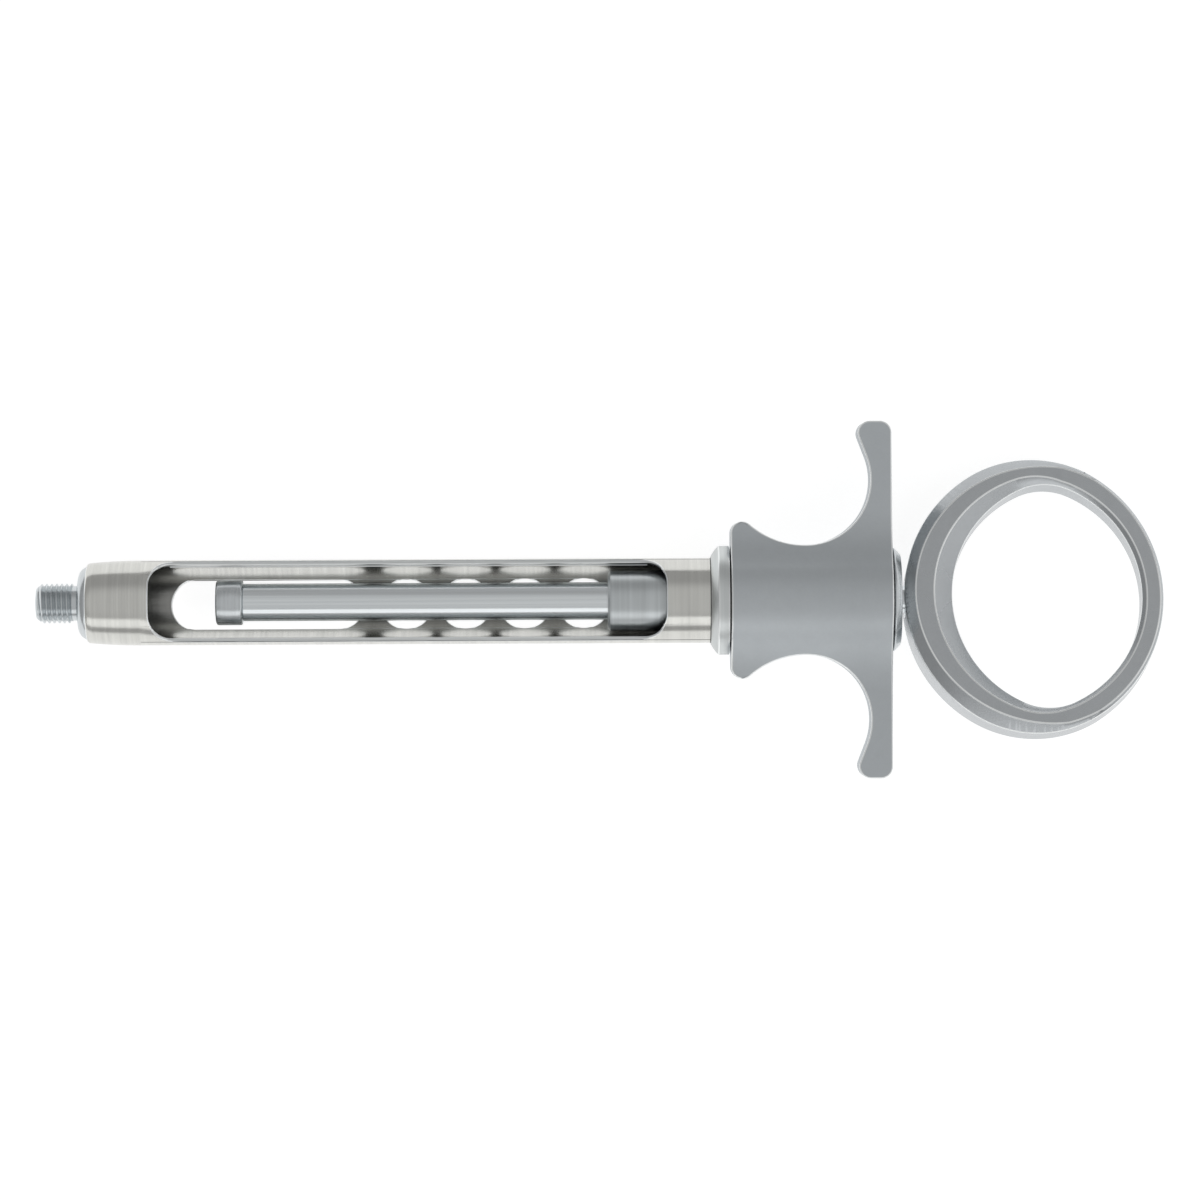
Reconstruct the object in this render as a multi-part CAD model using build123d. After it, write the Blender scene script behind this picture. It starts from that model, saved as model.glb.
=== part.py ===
from build123d import *
import os
from math import cos, radians, sin, tan

# Dental aspirating syringe that takes a glass cartridge through a window in its side.
# X runs along the axis from the needle thread to the thumb ring, Y runs along the finger
# wings and Z points up. The origin is on the axis at the middle of the needle thread.
# All sizes are in millimetres and all angles in degrees.

# Fits between the pieces
running_gap = 0.05
thread_gap = 0.03
pressed_gap = 0.02
end_play = 0.2
seat_gap = 0.05

# Needle adaptor
thread_radius = 3.0
thread_length = 5.38
thread_lead = 0.82
relief_radius = 2.6
relief_length = 0.67
shoulder_length = 1.51
shoulder_face_radius = 3.8
shoulder_face_depth = 0.21
shoulder_radius = 5.46
plug_radius = 4.47
plug_length = 6.8
plug_chamfer = 0.4
passage_radius = 0.9
funnel_radius = 2.2
funnel_depth = 1.6

# Barrel
barrel_radius = 6.35
bore_radius = 5.42
nose_edge_radius = 5.78
nose_edge_length = 0.33
nose_taper_radius = 5.99
nose_length = 8.13
front_wall_length = 7.2
barrel_roll_angle = -4.3

# Loading window in the front wall, and the plain wall from it back to the collar
window_start = 9.43
window_length = 76.95
window_width = 10.9
window_corner_radius = 3.7
rear_wall_length = 6.59

# Slot and round holes in the back wall
back_opening_width = 7.5
slot_inset = 2.72
slot_length = 28.8
web_length = 2.73
hole_pitch = 8.88
hole_count = 4

# Sliding sleeve with its guide and its spring
sleeve_radius = 4.5
sleeve_bore_radius = 3.1
sleeve_showing = 8.72
sleeve_chamfer = 0.35
guide_inset = 1.75
guide_length = 4.0
flange_clearance = 0.1
flange_length = 2.0
wire_radius = 0.35
wire_sides = 8
spring_radius = 4.2
spring_turns = 7

# Finger grip and its collar
collar_radius = 8.12
collar_length = 2.76
collar_rounding = 1.3
collar_chamfer = 0.25
hub_radius = 8.19
wing_thickness = 7.0
wing_blend_radius = 13.65
wing_reach = 8.71
wing_neck = 3.2
scoop_radius = 9.7
scoop_exit_angle = 21.2
scoop_front_radius = 12.6
scoop_front_angle = 61.7575
lobe_radius = 1.7
tip_radius = 1.8
grip_edge_break = 0.25
grip_bore_chamfer = 0.3

# Rear cap and its drag ring
cap_radius = 7.7
cap_rim_length = 0.2
cap_chamfer = 0.85
cap_crown = 0.2
cap_spigot_length = 7.0
cap_spigot_chamfer = 0.4
cap_mouth_chamfer = 0.25
groove_inset = 2.6
groove_width = 1.7
groove_radius = 4.25
seal_gap = 0.03
seal_chamfer = 0.3

# Plunger, with the head drawn back from the bore's front wall by its inset
head_inset = 12.03
rod_radius = 2.8
rod_stud_radius = 1.5
rod_stud_length = 2.6
stud_end_gap = 0.2
head_radius = 3.375
head_length = 4.0
head_chamfer = 0.3

# Thumb ring, drawn flat and then rolled about the axis
ring_gap = 0.4
ring_bore_half_length = 14.11
ring_bore_half_width = 17.12
ring_bore_side_angle = 64.7236
ring_front_rim = 7.15
ring_rear_rim = 3.25
ring_side_rim = 3.94
ring_side_angle = 56.3085
ring_tip_half_thickness = 2.58
ring_face_slope = 0.105
ring_crease_from_front = 23.95
ring_cone_offset = 0.33
ring_cone_margin = 4.39
ring_cone_slope = 1.36
ring_edge_break = 0.49
ring_bevel_height = 1.985
ring_bevel_slope = 1.28
ring_socket_depth = 4.75
ring_roll_angle = -14.5

# Stations along the axis
thread_tip_x = -thread_length / 2
relief_x = thread_length / 2
shoulder_x = relief_x + relief_length
barrel_front_x = shoulder_x + shoulder_length
front_wall_x = barrel_front_x + front_wall_length
window_front_x = barrel_front_x + window_start
window_rear_x = window_front_x + window_length
collar_front_x = window_rear_x + rear_wall_length
grip_front_x = collar_front_x + collar_length + end_play
scoop_x = grip_front_x + scoop_front_radius * sin(radians(scoop_front_angle))
grip_rear_x = scoop_x + scoop_radius + wing_neck
barrel_rear_x = grip_rear_x + end_play
cap_front_x = barrel_rear_x - cap_spigot_length
cap_face_x = barrel_rear_x + cap_rim_length + cap_chamfer + cap_crown
guide_front_x = window_rear_x + guide_inset
flange_front_x = guide_front_x + guide_length + seat_gap
flange_rear_x = flange_front_x + flange_length
sleeve_front_x = window_rear_x - sleeve_showing
ring_front_x = cap_face_x + ring_gap
head_front_x = front_wall_x + head_inset
rod_front_x = head_front_x + head_length

# Distance from the axis to a wing's tip, past the scoop
wing_tip_y = hub_radius + scoop_radius + wing_reach

# Outside of the thumb ring, and its half thickness where it meets the rod
ring_half_length = ring_bore_half_length + (ring_front_rim + ring_rear_rim) / 2
ring_half_width = ring_bore_half_width + ring_side_rim
ring_centre_x = ring_front_x + ring_half_length
ring_front_half_thickness = ring_tip_half_thickness + ring_face_slope * ring_crease_from_front


def turned(*lines):
    """Solid of revolution about the X axis, from lines that close an outline above it."""
    return revolve(make_face(Curve() + list(lines)), axis=Axis.X)


def plain_ring(front_x, length, outer_radius, inner_radius):
    """Turned ring with square edges."""
    rear_x = front_x + length
    return turned(
        Polyline(
            (front_x, inner_radius),
            (front_x, outer_radius),
            (rear_x, outer_radius),
            (rear_x, inner_radius),
            close=True,
        )
    )


def rolled(solid, angle):
    """The solid turned about the syringe's axis."""
    return Rot(angle, 0, 0) * solid


def needle_adaptor():
    """Turned tip: needle thread, relief neck, domed shoulder and the plug in the barrel."""
    dome_start = (shoulder_x + shoulder_face_depth, shoulder_face_radius)
    dome_end = (barrel_front_x, shoulder_radius)
    plug_rear_x = barrel_front_x + plug_length
    front = Polyline(
        (thread_tip_x, passage_radius),
        (thread_tip_x, thread_radius - thread_lead),
        (thread_tip_x + thread_lead, thread_radius),
        (relief_x, thread_radius),
        (relief_x, relief_radius),
        (shoulder_x, relief_radius),
        dome_start,
    )
    dome = TangentArc(dome_start, dome_end, tangent=(0, 1))
    back = Polyline(
        dome_end,
        (barrel_front_x, plug_radius),
        (plug_rear_x - plug_chamfer, plug_radius),
        (plug_rear_x, plug_radius - plug_chamfer),
        (plug_rear_x, funnel_radius),
        (plug_rear_x - funnel_depth, passage_radius),
        (thread_tip_x, passage_radius),
    )
    return turned(front, dome, back)


def barrel_tube():
    """Tube with a slightly tapered nose and a thicker front wall that takes the adaptor."""
    nose_start = (barrel_front_x + nose_edge_length, nose_taper_radius)
    nose_end = (barrel_front_x + nose_length, barrel_radius)
    front_bore_radius = plug_radius + thread_gap
    inside = Polyline(
        nose_end,
        (barrel_rear_x, barrel_radius),
        (barrel_rear_x, bore_radius),
        (front_wall_x, bore_radius),
        (front_wall_x, front_bore_radius),
        (barrel_front_x, front_bore_radius),
        (barrel_front_x, nose_edge_radius),
        nose_start,
    )
    nose = TangentArc(nose_end, nose_start, tangent=(-1, 0))
    return turned(inside, nose)


def barrel():
    """Tube with the loading window in front and the slot and round holes behind."""
    cutter_height = 2 * barrel_radius
    window_centre_x = window_front_x + window_length / 2
    window = Pos(window_centre_x, 0) * RectangleRounded(window_length, window_width, window_corner_radius)
    slot_front_x = window_front_x + slot_inset
    slot = Pos(slot_front_x + slot_length / 2, 0) * SlotOverall(slot_length, back_opening_width)
    hole_radius = back_opening_width / 2
    first_hole_x = slot_front_x + slot_length + web_length + hole_radius
    back_openings = slot
    for number in range(hole_count):
        back_openings += Pos(first_hole_x + number * hole_pitch, 0) * Circle(hole_radius)
    tube = barrel_tube()
    tube -= extrude(window, amount=cutter_height)
    tube -= extrude(back_openings, amount=-cutter_height)
    return rolled(tube, barrel_roll_angle)


def sleeve_guide():
    """Ring pressed in the bore, which carries the sleeve and stops its flange."""
    return plain_ring(
        guide_front_x,
        guide_length,
        bore_radius - pressed_gap,
        sleeve_radius + running_gap,
    )


def cartridge_sleeve():
    """Sleeve that bears on the cartridge, with a flange behind its guide."""
    flange_radius = bore_radius - flange_clearance
    return turned(
        Polyline(
            (sleeve_front_x, sleeve_bore_radius),
            (sleeve_front_x, sleeve_radius - sleeve_chamfer),
            (sleeve_front_x + sleeve_chamfer, sleeve_radius),
            (flange_front_x, sleeve_radius),
            (flange_front_x, flange_radius),
            (flange_rear_x, flange_radius),
            (flange_rear_x, sleeve_bore_radius),
            close=True,
        )
    )


def return_spring():
    """Open-ended coil spring between the sleeve's flange and the rear cap."""
    front_x = flange_rear_x + seat_gap + wire_radius
    length = cap_front_x - seat_gap - wire_radius - front_x
    coil = Helix(
        pitch=length / spring_turns,
        height=length,
        radius=spring_radius,
        center=(front_x, 0, 0),
        direction=(1, 0, 0),
    )
    wire = Plane(origin=coil @ 0, z_dir=coil % 0) * RegularPolygon(wire_radius, wire_sides)
    return sweep(wire, path=coil, is_frenet=True)


def grip_collar():
    """Collar fixed on the barrel in front of the grip, rounded towards the window."""
    inner_radius = barrel_radius + pressed_gap
    wall = collar_radius - inner_radius
    centre = (collar_front_x + collar_length / 2, inner_radius + wall / 2)
    outline = Pos(*centre) * Rectangle(collar_length, wall)
    outline = fillet(outline.vertices().group_by(Axis.Y)[-1].sort_by(Axis.X)[0], collar_rounding)
    outline = chamfer(outline.vertices().group_by(Axis.Y)[-1].sort_by(Axis.X)[-1], collar_chamfer)
    return revolve(outline, axis=Axis.X)


def grip_plan():
    """Outline of the finger grip from above: a bar with a finger scoop on each side."""
    scoop_floor = (scoop_x, hub_radius)
    lobe_y = hub_radius + scoop_front_radius * (1 - cos(radians(scoop_front_angle)))
    exit_angle = radians(scoop_exit_angle)
    exit_x = scoop_x + scoop_radius * cos(exit_angle)
    exit_y = hub_radius + scoop_radius * (1 + sin(exit_angle))
    tip_x = exit_x - (wing_tip_y - exit_y) * tan(exit_angle)
    front_arc = TangentArc(scoop_floor, (grip_front_x, lobe_y), tangent=(-1, 0))
    rear_arc = TangentArc(scoop_floor, (exit_x, exit_y), tangent=(1, 0))
    edges = Polyline(
        (exit_x, exit_y),
        (tip_x, wing_tip_y),
        (grip_rear_x, wing_tip_y),
        (grip_rear_x, 0),
        (grip_front_x, 0),
        (grip_front_x, lobe_y),
    )
    half = make_face(Curve() + [front_arc, rear_arc, edges])
    tip_corners = half.vertices().group_by(Axis.Y)[-1]
    half = fillet(tip_corners, tip_radius)
    lobe_corner = half.vertices().filter_by(lambda corner: corner.Y > hub_radius).sort_by(Axis.X)[0]
    half = fillet(lobe_corner, lobe_radius)
    return half + mirror(half, Plane.XZ)


def finger_grip():
    """Hub and two finger wings in one piece, blended into each other."""
    section = Circle(hub_radius) + Rectangle(2 * wing_tip_y, wing_thickness)
    roots = section.vertices().filter_by(lambda corner: abs(corner.X) < hub_radius)
    section = fillet(roots, wing_blend_radius)
    bar = extrude(Plane.YZ.offset(grip_front_x) * section, amount=grip_rear_x - grip_front_x)
    grip = bar & extrude(grip_plan(), amount=2 * hub_radius, both=True)
    grip = chamfer(grip.edges().filter_by(lambda edge: is_grip_rim(edge)), grip_edge_break)
    return grip - grip_bore()


def is_grip_rim(edge):
    """True for the edges round the end faces and round the top and bottom of each wing."""
    middle = edge @ 0.5
    upright = abs((edge % 0.5).Z) > 0.99
    seam = abs(middle.Y) < hub_radius and abs((edge % 0.5).X) > 0.99
    return not upright and not seam


def grip_bore():
    """Bore that runs on the barrel, widened to a chamfer at both end faces of the grip."""
    bore = barrel_radius + running_gap
    mouth = bore + grip_bore_chamfer
    return turned(
        Polyline(
            (grip_front_x, 0),
            (grip_front_x, mouth),
            (grip_front_x + grip_bore_chamfer, bore),
            (grip_rear_x - grip_bore_chamfer, bore),
            (grip_rear_x, mouth),
            (grip_rear_x, 0),
            close=True,
        )
    )


def rear_cap():
    """Chamfered cap screwed in the barrel, bored for the rod and grooved for its drag ring."""
    bore = rod_radius + running_gap
    spigot_radius = bore_radius - thread_gap
    chamfer_front_x = barrel_rear_x + cap_rim_length
    chamfer_rear_x = chamfer_front_x + cap_chamfer
    groove_front_x = cap_front_x + groove_inset
    groove_rear_x = groove_front_x + groove_width
    outline = Polyline(
        (chamfer_rear_x, cap_radius - cap_chamfer),
        (chamfer_front_x, cap_radius),
        (barrel_rear_x, cap_radius),
        (barrel_rear_x, spigot_radius),
        (cap_front_x + cap_spigot_chamfer, spigot_radius),
        (cap_front_x, spigot_radius - cap_spigot_chamfer),
        (cap_front_x, bore),
        (groove_front_x, bore),
        (groove_front_x, groove_radius),
        (groove_rear_x, groove_radius),
        (groove_rear_x, bore),
        (cap_face_x - cap_mouth_chamfer, bore),
        (cap_face_x, bore + cap_mouth_chamfer),
        close=True,
    )
    return turned(outline)


def rod_seal_ring():
    """Square-section rubber ring in the cap's groove, which gives the rod its drag."""
    inner_radius = rod_radius + seal_gap
    height = groove_radius - seal_gap - inner_radius
    centre_x = cap_front_x + groove_inset + groove_width / 2
    section = Pos(centre_x, inner_radius + height / 2) * Rectangle(height, height)
    return revolve(chamfer(section.vertices(), seal_chamfer), axis=Axis.X)


def piston_head():
    """Button screwed on the front of the rod, wider than the sleeve's bore."""
    bore = rod_stud_radius + thread_gap
    bore_front_x = rod_front_x - rod_stud_length - stud_end_gap
    return turned(
        Polyline(
            (head_front_x, 0),
            (head_front_x, head_radius - head_chamfer),
            (head_front_x + head_chamfer, head_radius),
            (rod_front_x - head_chamfer, head_radius),
            (rod_front_x, head_radius - head_chamfer),
            (rod_front_x, bore),
            (bore_front_x, bore),
            (bore_front_x, 0),
            close=True,
        )
    )


def plunger_rod():
    """Round rod with a stud for the piston head; its rear end sits in the thumb ring."""
    rear_x = ring_front_x + ring_socket_depth - seat_gap
    return turned(
        Polyline(
            (rod_front_x - rod_stud_length, 0),
            (rod_front_x - rod_stud_length, rod_stud_radius),
            (rod_front_x, rod_stud_radius),
            (rod_front_x, rod_radius),
            (rear_x, rod_radius),
            (rear_x, 0),
            close=True,
        )
    )


def four_arc_oval(half_length, half_width, side_angle):
    """Oval of four tangent arcs, where those that cross X turn by the side angle to each side."""
    across = cos(radians(side_angle))
    along = sin(radians(side_angle))
    difference = (half_width - half_length) / (across + along - 1)
    side_offset = difference * across
    end_offset = difference * along
    side = CenterArc((-side_offset, 0), half_length + side_offset, -side_angle, 2 * side_angle)
    end = CenterArc((0, end_offset), half_width - end_offset, side_angle, 180 - 2 * side_angle)
    return make_face(Curve() + [side, end, mirror(side, Plane.YZ), mirror(end, Plane.XZ)])


def ring_blank():
    """Outside of the thumb ring: oval wall, faces that part towards the rod, turned bevels."""
    crease_x = ring_front_x + ring_crease_from_front
    oval = four_arc_oval(ring_half_length, ring_half_width, ring_side_angle)
    outline = Pos(ring_centre_x, 0) * oval
    tip = extrude(outline, amount=ring_tip_half_thickness, both=True)
    tip = chamfer(tip.faces().filter_by(Axis.Z).edges(), ring_edge_break)
    tip = split(tip, bisect_by=Plane.YZ.offset(crease_x), keep=Keep.TOP)
    side_view = Polyline(
        (ring_front_x, -ring_front_half_thickness),
        (ring_front_x, ring_front_half_thickness),
        (crease_x, ring_tip_half_thickness),
        (crease_x, -ring_tip_half_thickness),
        close=True,
    )
    front = extrude(outline, amount=ring_front_half_thickness, both=True)
    front &= extrude(Plane.XZ * make_face(side_view), amount=ring_half_width, both=True)
    cone_radius = ring_half_length + ring_cone_margin
    cone_end_radius = cone_radius - ring_cone_slope * ring_front_half_thickness
    cone_half = Polyline(
        (0, -ring_front_half_thickness),
        (cone_end_radius, -ring_front_half_thickness),
        (cone_radius, 0),
        (cone_end_radius, ring_front_half_thickness),
        (0, ring_front_half_thickness),
        close=True,
    )
    cones = revolve(Plane.XZ * make_face(cone_half), axis=Axis.Z)
    return (tip + front) & Pos(ring_centre_x - ring_cone_offset, 0) * cones


def ring_bore():
    """Finger hole of the thumb ring with the bevel on each face."""
    hole = four_arc_oval(ring_bore_half_length, ring_bore_half_width, ring_bore_side_angle)
    bevel_depth = ring_front_half_thickness - ring_bevel_height
    widening = ring_bevel_slope * bevel_depth
    mouth = four_arc_oval(
        ring_bore_half_length + widening,
        ring_bore_half_width + widening,
        ring_bore_side_angle,
    )
    cutter = extrude(hole, amount=ring_front_half_thickness, both=True)
    bevel = loft(
        [Pos(0, 0, ring_bevel_height) * hole, Pos(0, 0, ring_front_half_thickness) * mouth],
        ruled=True,
    )
    cutter += bevel
    cutter += mirror(bevel, Plane.XY)
    return Pos(ring_front_x + ring_front_rim + ring_bore_half_length, 0) * cutter


def thumb_ring():
    """Bevelled thumb ring with a socket for the rod."""
    ring = ring_blank() - ring_bore()
    ring -= plain_ring(ring_front_x - end_play, end_play + ring_socket_depth, rod_radius + running_gap, 0)
    return rolled(ring, ring_roll_angle)


pieces = {
    "needle_adaptor": needle_adaptor,
    "barrel": barrel,
    "sleeve_guide": sleeve_guide,
    "cartridge_sleeve": cartridge_sleeve,
    "return_spring": return_spring,
    "grip_collar": grip_collar,
    "finger_grip": finger_grip,
    "rear_cap": rear_cap,
    "rod_seal_ring": rod_seal_ring,
    "piston_head": piston_head,
    "plunger_rod": plunger_rod,
    "thumb_ring": thumb_ring,
}

os.makedirs("parts", exist_ok=True)
for name, make in pieces.items():
    export_step(make(), f"parts/{name}.step")
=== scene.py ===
import logging
import math
from dataclasses import dataclass
from enum import Enum, IntEnum

import bpy
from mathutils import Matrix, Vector


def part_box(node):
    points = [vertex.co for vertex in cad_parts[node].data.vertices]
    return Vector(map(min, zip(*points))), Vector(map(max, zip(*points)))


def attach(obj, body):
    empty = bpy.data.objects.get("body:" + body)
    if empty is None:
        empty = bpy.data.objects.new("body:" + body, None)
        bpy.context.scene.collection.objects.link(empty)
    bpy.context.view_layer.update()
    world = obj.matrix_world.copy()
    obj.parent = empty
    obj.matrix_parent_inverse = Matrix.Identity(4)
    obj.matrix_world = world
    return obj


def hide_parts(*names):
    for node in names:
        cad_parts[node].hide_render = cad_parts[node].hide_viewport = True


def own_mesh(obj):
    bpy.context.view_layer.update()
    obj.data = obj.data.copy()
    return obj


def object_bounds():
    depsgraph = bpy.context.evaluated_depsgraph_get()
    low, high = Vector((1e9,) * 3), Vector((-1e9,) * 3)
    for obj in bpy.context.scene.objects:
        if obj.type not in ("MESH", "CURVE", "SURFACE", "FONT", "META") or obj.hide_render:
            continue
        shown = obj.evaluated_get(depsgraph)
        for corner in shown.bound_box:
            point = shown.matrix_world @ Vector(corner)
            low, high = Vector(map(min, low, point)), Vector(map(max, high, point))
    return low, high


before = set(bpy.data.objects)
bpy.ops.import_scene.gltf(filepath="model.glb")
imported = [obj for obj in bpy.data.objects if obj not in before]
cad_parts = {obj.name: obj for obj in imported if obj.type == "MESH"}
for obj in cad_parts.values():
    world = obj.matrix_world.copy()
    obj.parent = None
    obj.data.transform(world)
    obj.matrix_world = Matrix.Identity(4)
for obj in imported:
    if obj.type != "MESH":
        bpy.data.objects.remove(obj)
CAD_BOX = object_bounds()

LOG = logging.getLogger("syringe")

# One millimetre in metres
MM = 0.001

# How far a cutter reaches past the piece that it cuts, in millimetres
OVERCUT = 1.0

# Edges sharper than this stay sharp in the shading, in degrees
SMOOTH_ANGLE = 32.0

Point = tuple[float, float]
Colour = tuple[float, float, float]
Tree = bpy.types.NodeTree
Node = bpy.types.Node
Socket = bpy.types.NodeSocket
Piece = bpy.types.Object


class Axis(IntEnum):
    """Axes of the frame, by their place in a vector."""

    X = 0
    Y = 1
    Z = 2


class Body(Enum):
    """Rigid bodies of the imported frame."""

    BARREL = "barrel"
    PLUNGER = "plunger"
    SLEEVE = "sleeve"
    GRIP = "grip"
    RING = "ring"


class Slot(Enum):
    """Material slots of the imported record."""

    BARREL = "barrel_steel"
    TURNED = "turned_steel"
    ROD = "rod_steel"
    CAST = "cast_steel"
    SPRING = "spring_steel"
    SEAL = "seal_rubber"


class Grain(Enum):
    """Which way a steel surface was brushed, as the stretch of its pattern along X, Y and Z."""

    AROUND = (2300.0, 60.0, 60.0)
    ALONG = (9.0, 2100.0, 2100.0)
    SATIN = (2600.0, 2600.0, 2600.0)


@dataclass(frozen=True)
class Extent:
    """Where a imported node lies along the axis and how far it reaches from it, in millimetres."""

    front: float
    rear: float
    radius: float

    @property
    def length(self) -> float:
        """Length along the axis."""
        return self.rear - self.front


def extent(node: str) -> Extent:
    """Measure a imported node, given by its name."""
    low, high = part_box(node)
    return Extent(low.x / MM, high.x / MM, max(high.y, -low.y) / MM)


def arc(centre: Point, radius: float, start: float, end: float, steps: int) -> list[Point]:
    """Points on an arc between two angles in degrees, in equal steps and with both ends."""
    angles = [math.radians(start + (end - start) * step / steps) for step in range(steps + 1)]
    return [(centre[0] + radius * math.cos(a), centre[1] + radius * math.sin(a)) for a in angles]


def four_arc_oval(half_length: float, half_width: float, side_radius: float, steps: int) -> list[Point]:
    """Outline of an oval of four tangent arcs, flatter at its two sides.

    Args:
        half_length: Half its size along X.
        half_width: Half its size along Y.
        side_radius: Radius of the two flatter arcs.
        steps: Steps in each arc.

    Returns:
        The outline's points, without a repeated one.
    """
    side_offset = side_radius - half_length
    end_radius = (2 * side_radius * half_length - half_length**2 - half_width**2) / (
        2 * (side_radius - half_width)
    )
    end_offset = half_width - end_radius
    turn = math.degrees(math.atan2(end_offset, side_offset))
    points = arc((-side_offset, 0), side_radius, -turn, turn, steps)[:-1]
    points += arc((0, end_offset), end_radius, turn, 180 - turn, steps)[:-1]
    points += arc((side_offset, 0), side_radius, 180 - turn, 180 + turn, steps)[:-1]
    points += arc((0, -end_offset), end_radius, 180 + turn, 360 - turn, steps)[:-1]
    return points


def select_only(piece: Piece) -> None:
    """Select one object and make it the active one.

    Args:
        piece: The object.
    """
    bpy.ops.object.select_all(action="DESELECT")
    piece.select_set(True)
    bpy.context.view_layer.objects.active = piece


def apply(piece: Piece, kind: str, **settings: object) -> None:
    """Give a piece a modifier and apply it.

    Args:
        piece: The piece.
        kind: The modifier's type.
        settings: The modifier's settings.
    """
    select_only(piece)
    modifier = piece.modifiers.new("step", kind)
    for name, value in settings.items():
        setattr(modifier, name, value)
    bpy.ops.object.modifier_apply(modifier=modifier.name)


def draw_loop(name: str, points: list[Vector]) -> Piece:
    """A closed loop of edges, made from a circle whose vertices are moved to their places.

    Args:
        name: Name of the new object.
        points: Places of the vertices, in order.

    Returns:
        The object, in object mode.
    """
    bpy.ops.object.select_all(action="DESELECT")
    bpy.ops.mesh.primitive_circle_add(vertices=len(points))
    loop = bpy.context.active_object
    loop.name = name
    for vertex, place in zip(loop.data.vertices, points):
        vertex.co = place
    return loop


def lay(outline: list[Point], normal: Axis, level: float) -> list[Vector]:
    """Lay an outline in space, square to an axis and at a level along it."""
    return [Vector((*pair[:normal], level, *pair[normal:])) for pair in outline]


def edit_all() -> None:
    """Go to edit mode with all of the active mesh selected."""
    bpy.ops.object.mode_set(mode="EDIT")
    bpy.ops.mesh.select_all(action="SELECT")


def spun(name: str, loop: list[Vector], steps: int, centre: Vector, axis: Vector) -> Piece:
    """A closed loop spun once round an axis.

    Args:
        name: Name of the new object.
        loop: The loop's points.
        steps: Number of facets round the axis.
        centre: A point on the axis.
        axis: Its direction.

    Returns:
        The closed piece.
    """
    piece = draw_loop(name, loop)
    edit_all()
    bpy.ops.mesh.spin(steps=steps, angle=math.tau, center=centre, axis=axis)
    close_up()
    return piece


def turned(name: str, profile: list[Point], steps: int) -> Piece:
    """A piece turned about the syringe's axis, from its (station, radius) outline in millimetres."""
    return spun(name, lay(profile, Axis.Z, 0), steps, Vector(), Vector((1, 0, 0)))


def close_up() -> None:
    """Merge the doubles of the mesh, turn its faces outwards and leave edit mode."""
    bpy.ops.mesh.select_all(action="SELECT")
    bpy.ops.mesh.remove_doubles(threshold=0.0005)
    bpy.ops.mesh.dissolve_degenerate(threshold=0.0001)
    bpy.ops.mesh.select_all(action="SELECT")
    bpy.ops.mesh.normals_make_consistent(inside=False)
    bpy.ops.object.mode_set(mode="OBJECT")


def prism(name: str, outline: list[Point], normal: Axis, level: float, length: float) -> Piece:
    """An outline filled and extruded.

    Args:
        name: Name of the new object.
        outline: Its points, by the two axes that it lies along.
        normal: The axis along which it is extruded.
        level: Where it starts along that axis.
        length: How far it is extruded.

    Returns:
        The closed prism.
    """
    piece = draw_loop(name, lay(outline, normal, level))
    edit_all()
    bpy.ops.mesh.edge_face_add()
    reach = Vector()
    reach[normal] = length
    bpy.ops.mesh.extrude_region_move(TRANSFORM_OT_translate={"value": reach})
    close_up()
    return piece


def loft(name: str, low_loop: list[Vector], high_loop: list[Vector]) -> Piece:
    """A closed solid between two loops with as many points.

    Args:
        name: Name of the new object.
        low_loop: First loop.
        high_loop: Second loop.

    Returns:
        The closed solid.
    """
    piece = draw_loop(name, low_loop)
    other = draw_loop(name + "_end", high_loop)
    select_only(piece)
    other.select_set(True)
    bpy.ops.object.join()
    edit_all()
    bpy.ops.mesh.bridge_edge_loops()
    fill_ends()
    return piece


def wound(name: str, section: list[Point], pitch: float, turns: int, steps: int) -> Piece:
    """A section wound round the syringe's axis.

    Args:
        name: Name of the new object.
        section: Closed outline as (station, radius) points of its first turn.
        pitch: Advance of one turn.
        turns: Number of turns.
        steps: Facets in one turn.

    Returns:
        The helix, closed at both ends.
    """
    helix = draw_loop(name, lay(section, Axis.Z, 0))
    around = {"axis": "X", "angle": math.tau, "screw_offset": pitch, "iterations": turns}
    apply(helix, "SCREW", **around, steps=steps, render_steps=steps)
    bpy.ops.object.mode_set(mode="EDIT")
    fill_ends()
    return helix


def fill_ends() -> None:
    """Fill the open ends of the mesh in edit mode and close it up."""
    bpy.ops.mesh.select_all(action="DESELECT")
    bpy.ops.mesh.select_non_manifold()
    bpy.ops.mesh.fill_holes(sides=0)
    close_up()


def combine(piece: Piece, tool: Piece, operation: str = "DIFFERENCE") -> None:
    """Apply a boolean with another solid, which is used up.

    Args:
        piece: The solid that is kept.
        tool: The other solid.
        operation: DIFFERENCE, INTERSECT or UNION.
    """
    apply(piece, "BOOLEAN", operation=operation, solver="EXACT", object=tool)
    bpy.data.objects.remove(tool)
    bpy.ops.object.mode_set(mode="EDIT")
    close_up()


def break_edges(piece: Piece, width: float, segments: int, angle: float) -> None:
    """Bevel the sharp edges of a piece. The new faces take its second finish, which here is always a painted
    highlight.

    Args:
        piece: The piece.
        width: Width of the bevel, in millimetres.
        segments: Facets across the bevel.
        angle: Edges sharper than this are bevelled, in degrees.
    """
    while len(piece.data.materials) < 2:
        piece.data.materials.append(None)
    limits = {"limit_method": "ANGLE", "angle_limit": math.radians(angle), "use_clamp_overlap": False}
    apply(piece, "BEVEL", material=1, width=width, segments=segments, **limits, miter_outer="MITER_ARC")


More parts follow.
